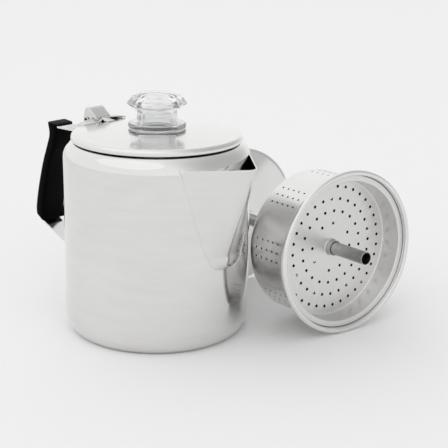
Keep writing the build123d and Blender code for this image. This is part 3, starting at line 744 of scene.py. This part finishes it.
# Painted shade: the bore of each hollow pin head is dark.
paint(pin, SEAM_AND_SHADE_STEEL, lambda spot, normal: hypot(spot.x + PIN_U, spot.z - PIN_Z) < PIN_BORE_R + 0.01
      and 7.0 < abs(spot.y) < PIN_HALF - 0.02)

# ---------------------------------------------------------------- hinge hood and leaf
LEAF_Z, LEAF_T, LEAF_HALF, LEAF_DROP, LEAF_IN_U, LEAF_OUT_U = 149.4, 0.8, 23.0, 2.4, 52.8, 59.6
LEAF_CORNER, LEAF_COUNT, LEAF_FOLD_T, LEAF_SINK = 2.5, 48, 0.6, 0.5
# On its near half the front edge bends down to the lid between these distances from the middle.
LEAF_BEND_START, LEAF_BEND_LENGTH, LEAF_REST_GAP = 2.0, 3.0, 0.4
TONGUE_HALF, TONGUE_R = 3.5, 47.0
HOOD_HALF, HOOD_SHEET = 7.2, 0.8


def leaf_section(y):
    """Closed section of the leaf at a distance from the handle plane."""
    top = LEAF_Z + LEAF_T - LEAF_DROP * (y / LEAF_HALF) ** 2
    over = max(0.0, abs(y) - (LEAF_HALF - LEAF_CORNER))
    trim = LEAF_CORNER - sqrt(max(0.0, LEAF_CORNER ** 2 - over ** 2))
    front, back = LEAF_IN_U + trim, LEAF_OUT_U - trim * 0.4
    fold = dome(min(hypot(back, y), LID_R - LID_CORNER)) - LEAF_SINK
    near = max(0.0, min(1.0, (-y - LEAF_BEND_START) / LEAF_BEND_LENGTH))
    rest = dome(hypot(front, y))
    tip = top + (rest + LEAF_REST_GAP - top) * near
    return rounded([(front, tip - LEAF_T), (front, tip), (back, top), (back, fold),
                    (back - LEAF_FOLD_T, fold), (back - LEAF_FOLD_T, top - LEAF_T)],
                   [0.2, 0.25, 0.9, 0.1, 0.1, 0.3], 3)


def leaf_mesh():
    """Arched strip with its rear edge folded down to the lid, and the tongue that is welded to it."""
    bm = bmesh.new()
    rings = []
    for k in range(LEAF_COUNT + 1):
        y = -LEAF_HALF + 2 * LEAF_HALF * k / LEAF_COUNT
        rings.append([bm.verts.new((-u * MM, y * MM, z * MM)) for u, z in leaf_section(y)])
    for a, b in zip(rings, rings[1:]):
        for k in range(len(a)):
            bm.faces.new((a[k], b[k], b[(k + 1) % len(a)], a[(k + 1) % len(a)]))
    bm.faces.new(rings[0])
    bm.faces.new(rings[-1])
    low = dome(TONGUE_R)
    tongue = prism("tongue", [(46.0, low), (50.0, low - 0.05), (53.2, LEAF_Z), (54.4, LEAF_Z + 0.4),
                              (52.6, LEAF_Z + 0.4), (49.8, low + LEAF_T), (46.0, low + LEAF_T)],
                   TONGUE_HALF, 0.15, 2)
    bm.from_mesh(tongue.data)
    bpy.data.objects.remove(tongue)
    return from_bmesh("leaf_strip", bm)


def hood_mesh():
    """Folded sheet: two cheeks and a sloping roof, open below and behind."""
    outline = rounded([(55.0, 149.95), (55.0, 150.6), (61.8, 156.1), (63.4, 157.0), (65.6, 157.0),
                       (67.2, 155.6), (68.9, 150.0), (68.5, 146.2), (66.8, 144.4), (63.6, 144.4),
                       (62.0, 145.6), (60.0, 149.9)],
                      [0, 0.3, 2.0, 0.8, 1.2, 2.0, 3.0, 1.5, 1.2, 1.0, 1.0, 0], 4)
    shell = prism("hood_sheet", outline, HOOD_HALF, 0.35, 3)
    hollow = prism("hollow", [(55.8, 140.0), (55.8, 150.3), (62.4, 155.4), (63.7, 156.2), (65.0, 156.2),
                              (65.0, 160.0), (72.0, 160.0), (72.0, 140.0)], HOOD_HALF - HOOD_SHEET)
    return cut(shell, hollow)


leaf = piece(leaf_mesh(), HINGE_STEEL, "lid", "hinge_leaf")
# Painted shade: the inner face of the leaf's folded rear edge is dark, standing for the shaded cavity under
# the leaf.
paint(leaf, SEAM_AND_SHADE_STEEL, lambda spot, normal: -spot.x > LEAF_OUT_U - 1.6 and normal.x > 0.5)
piece(hood_mesh(), HINGE_STEEL, "lid", "hinge_hood")


# ---------------------------------------------------------------- CAD nodes that keep their shape
# Each node's material and the width in millimetres of its softened edges.
KEEP = {"handle_strap": (BRIGHT, 0.3), "hinge_bracket": (BRIGHT, 0.2), "knob": (RESIN, 0.5)}
for name, (mat, width) in KEEP.items():
    node = frame["nodes"][name]
    node.data.materials.clear()
    node.data.materials.append(mat)
    bevel = node.modifiers.new("soft_edges", "BEVEL")
    bevel.width, bevel.segments = width * MM, 3
    bevel.limit_method, bevel.angle_limit = "ANGLE", radians(28)
    bevel.use_clamp_overlap = True


# ---------------------------------------------------------------- floor, light, camera
FLOOR_HALF, FLOOR_GAP, FLOOR_TONE = 12.0, 0.0002, 0.97


def floor():
    mat, nodes, links, bsdf = material("floor")
    bsdf.inputs["Roughness"].default_value = 0.85
    bsdf.inputs["Specular IOR Level"].default_value = 0.15
    bsdf.inputs["Base Color"].default_value = (FLOOR_TONE, FLOOR_TONE, FLOOR_TONE, 1)
    bm = bmesh.new()
    bmesh.ops.create_grid(bm, x_segments=2, y_segments=2, size=FLOOR_HALF)
    obj = from_bmesh("floor", bm)
    obj.location.z = min(CAD_LOW.z, 0.0) - FLOOR_GAP
    obj.data.materials.append(mat)


floor()


def overhead(location, target, power, size_x, size_y):
    """Soft oval light above the table."""
    data = bpy.data.lights.new("overhead", "AREA")
    data.energy = power
    data.shape = "ELLIPSE"
    data.size, data.size_y = size_x, size_y
    obj = bpy.data.objects.new("overhead", data)
    scene.collection.objects.link(obj)
    obj.location = location
    obj.rotation_euler = (Vector(target) - Vector(location)).to_track_quat("-Z", "Y").to_euler()


def studio_walls(dim_side, bright, dim):
    """Pale surroundings, dimmer towards one side, for soft gradients on the metal."""
    world = bpy.data.worlds.new("studio")
    scene.world = world
    world.use_nodes = True
    nodes, links = world.node_tree.nodes, world.node_tree.links
    coord = nodes.new("ShaderNodeTexCoord")
    dot = nodes.new("ShaderNodeVectorMath")
    dot.operation = "DOT_PRODUCT"
    dot.inputs[1].default_value = Vector(dim_side).normalized()
    links.new(coord.outputs["Generated"], dot.inputs[0])
    span = nodes.new("ShaderNodeMapRange")
    span.interpolation_type = "SMOOTHSTEP"
    span.inputs["From Min"].default_value = 0.35
    span.inputs["From Max"].default_value = 1.0
    span.inputs["To Min"].default_value = bright
    span.inputs["To Max"].default_value = dim
    links.new(dot.outputs["Value"], span.inputs["Value"])
    links.new(span.outputs["Result"], nodes["Background"].inputs["Strength"])
    nodes["Background"].inputs["Color"].default_value = (1, 1, 1, 1)


studio_walls((0.60, 0.70, 0.40), 1.0, 0.55)
overhead((-0.05, -1.15, 1.65), (0.0, 0.0, 0.1), 1.4, 2.8, 1.7)

# The camera stands CAM_AZ degrees round from -Y, at a distance from the pot's axis and a height in metres.
CAM_AZ, CAM_DIST, CAM_Z = 43.0, 0.78063, 0.30806
CAM_PITCH, CAM_HEADING, CAM_ROLL = 16.44, 3.62, 0.95
SENSOR_WIDTH, FOCAL_LENGTH = 36.0, 88.392857


def camera():
    data = bpy.data.cameras.new("camera")
    cam = bpy.data.objects.new("camera", data)
    scene.collection.objects.link(cam)
    data.sensor_width = SENSOR_WIDTH
    data.lens = FOCAL_LENGTH
    data.clip_start, data.clip_end = 0.01, 50
    heading = radians(CAM_AZ)
    cam.location = (CAM_DIST * sin(heading), -CAM_DIST * cos(heading), CAM_Z)
    cam.rotation_mode = "QUATERNION"
    cam.rotation_quaternion = (Matrix.Rotation(heading - radians(CAM_HEADING), 3, "Z")
                               @ Matrix.Rotation(radians(90 - CAM_PITCH), 3, "X")
                               @ Matrix.Rotation(radians(CAM_ROLL), 3, "Z")).to_quaternion()
    scene.camera = cam


camera()
scene.view_settings.view_transform = "Standard"
